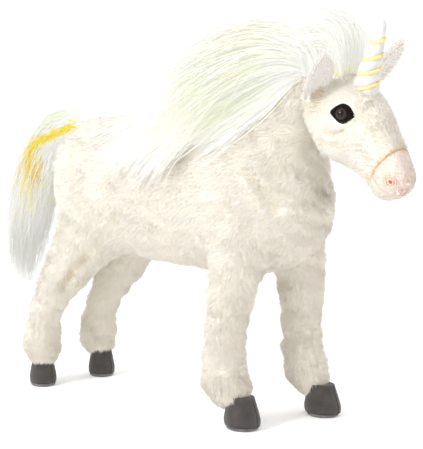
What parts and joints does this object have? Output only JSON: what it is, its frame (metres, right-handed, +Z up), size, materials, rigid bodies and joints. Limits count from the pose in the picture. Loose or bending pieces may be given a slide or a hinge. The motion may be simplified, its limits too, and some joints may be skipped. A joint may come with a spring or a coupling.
{
  "type": "plush unicorn",
  "caption": "Standing posable plush unicorn with cream pile, suede hooves, long combed mane, streaked tail and a corded horn on a turning head",
  "frame": {"origin": "bottom centre of the bounding box, on the surface that the hooves stand on", "axes": "+X towards the head, +Y the toy's left, +Z up"},
  "size_m": [0.5394, 0.1322, 0.4077],
  "materials": {
    "body_plush": "cream short-pile plush, combed, slightly clumped",
    "stuffing": "loose white polyester fibre",
    "armature_wire": "bare soft steel wire",
    "hoof_suede": "dark grey-brown imitation suede, matte",
    "sole_suede": "lighter grey imitation suede, matte",
    "mane_hair": "long silky white pile with pale green and yellow tints",
    "tail_hair": "long silky white pile with yellow and orange streaks",
    "washer_plastic": "white moulded plastic",
    "eye_plastic": "black-brown glossy moulded plastic",
    "eyelid_leather": "black imitation leather",
    "ear_lining": "smooth short beige lining plush",
    "horn_fabric": "white knitted fabric, satin",
    "horn_cord": "yellow twisted cord",
    "muzzle_plush": "pale pink very short plush",
    "stitch_thread": "orange-brown embroidery thread"
  },
  "bodies": {
    "trunk": {"trunk_cover": "body_plush", "trunk_filling": "stuffing", "spine_wire": "armature_wire", "front_cross_wire": "armature_wire", "rear_cross_wire": "armature_wire", "withers_mane": "mane_hair"},
    "neck": {"neck_cover": "body_plush", "neck_filling": "stuffing", "neck_wire": "armature_wire", "neck_mane": "mane_hair"},
    "head": {"head_cover": "body_plush", "head_filling": "stuffing", "muzzle_cover": "muzzle_plush", "nostril_stitches": "stitch_thread", "mouth_stitch": "stitch_thread", "forelock": "mane_hair", "horn_cover": "horn_fabric", "horn_filling": "stuffing", "horn_cord": "horn_cord", "eye_left": "eye_plastic", "eye_washer_left": "washer_plastic", "eyelid_left": "eyelid_leather", "ear_left": "body_plush", "ear_lining_left": "ear_lining", "eye_right": "eye_plastic", "eye_washer_right": "washer_plastic", "eyelid_right": "eyelid_leather", "ear_right": "body_plush", "ear_lining_right": "ear_lining"},
    "tail": {"tail_stump": "tail_hair", "tail_hair": "tail_hair"},
    "front_right_leg": {"front_right_leg_cover": "body_plush", "front_right_leg_filling": "stuffing", "front_right_leg_wire": "armature_wire", "front_right_hoof": "hoof_suede", "front_right_sole": "sole_suede"},
    "front_left_leg": {"front_left_leg_cover": "body_plush", "front_left_leg_filling": "stuffing", "front_left_leg_wire": "armature_wire", "front_left_hoof": "hoof_suede", "front_left_sole": "sole_suede"},
    "rear_right_leg": {"rear_right_leg_cover": "body_plush", "rear_right_leg_filling": "stuffing", "rear_right_leg_wire": "armature_wire", "rear_right_hoof": "hoof_suede", "rear_right_sole": "sole_suede"},
    "rear_left_leg": {"rear_left_leg_cover": "body_plush", "rear_left_leg_filling": "stuffing", "rear_left_leg_wire": "armature_wire", "rear_left_hoof": "hoof_suede", "rear_left_sole": "sole_suede"}
  },
  "joints": [
    {"name": "neck_bend", "type": "hinge", "parent": "trunk", "child": "neck", "pos_m": [0.075, 0.0002, 0.256], "axis": [0, 1, 0], "range_deg": [-11, 12]},
    {"name": "head_turn", "type": "hinge", "parent": "neck", "child": "head", "pos_m": [0.137, 0.0002, 0.328], "axis": [0, 0, 1], "range_deg": [-20, 30]},
    {"name": "tail_swing", "type": "hinge", "parent": "trunk", "child": "tail", "pos_m": [-0.15, 0.0002, 0.287], "axis": [0, 1, 0], "range_deg": [-4, 30]},
    {"name": "front_right_leg_swing", "type": "hinge", "parent": "trunk", "child": "front_right_leg", "pos_m": [0.095, -0.0428, 0.19], "axis": [0, 1, 0], "range_deg": [-20, 20]},
    {"name": "front_left_leg_swing", "type": "hinge", "parent": "trunk", "child": "front_left_leg", "pos_m": [0.095, 0.0432, 0.19], "axis": [0, 1, 0], "range_deg": [-20, 20]},
    {"name": "rear_right_leg_swing", "type": "hinge", "parent": "trunk", "child": "rear_right_leg", "pos_m": [-0.107, -0.0378, 0.202], "axis": [0, 1, 0], "range_deg": [-20, 20]},
    {"name": "rear_left_leg_swing", "type": "hinge", "parent": "trunk", "child": "rear_left_leg", "pos_m": [-0.107, 0.0382, 0.202], "axis": [0, 1, 0], "range_deg": [-20, 20]}
  ]
}
